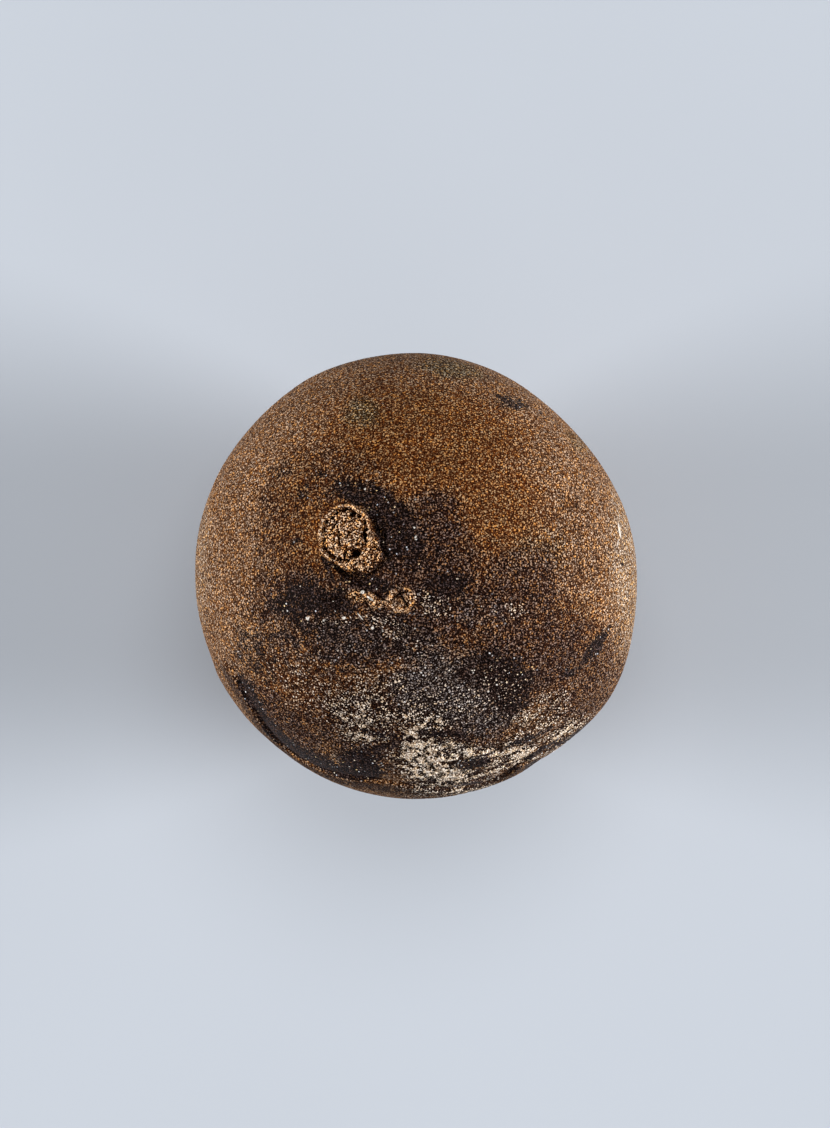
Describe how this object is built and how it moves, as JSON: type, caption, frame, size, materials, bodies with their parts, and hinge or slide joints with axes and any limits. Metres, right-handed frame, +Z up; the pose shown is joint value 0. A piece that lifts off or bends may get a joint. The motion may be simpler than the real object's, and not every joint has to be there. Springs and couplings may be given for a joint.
{
  "type": "palm seed",
  "caption": "Round, hard palm seed with a raised stalk scar, two smaller side scars and a crease along one edge, lying on a small flat spot.",
  "frame": {"origin": "on the surface the seed lies on, under the middle of its outline seen from above", "axes": "+Z up, with the scar side of the seed uppermost; the stalk scar lies off the middle, towards -X and +Y, and the crease runs round the -Y edge"},
  "size_m": [0.0216, 0.0218, 0.0208],
  "materials": {
    "seed_skin": "dry, finely granular brown seed coat, matt, with dark resinous stains round the scars and pale dust on the lower edge"
  },
  "bodies": {
    "root": {"seed": "seed_skin"}
  },
  "joints": []
}
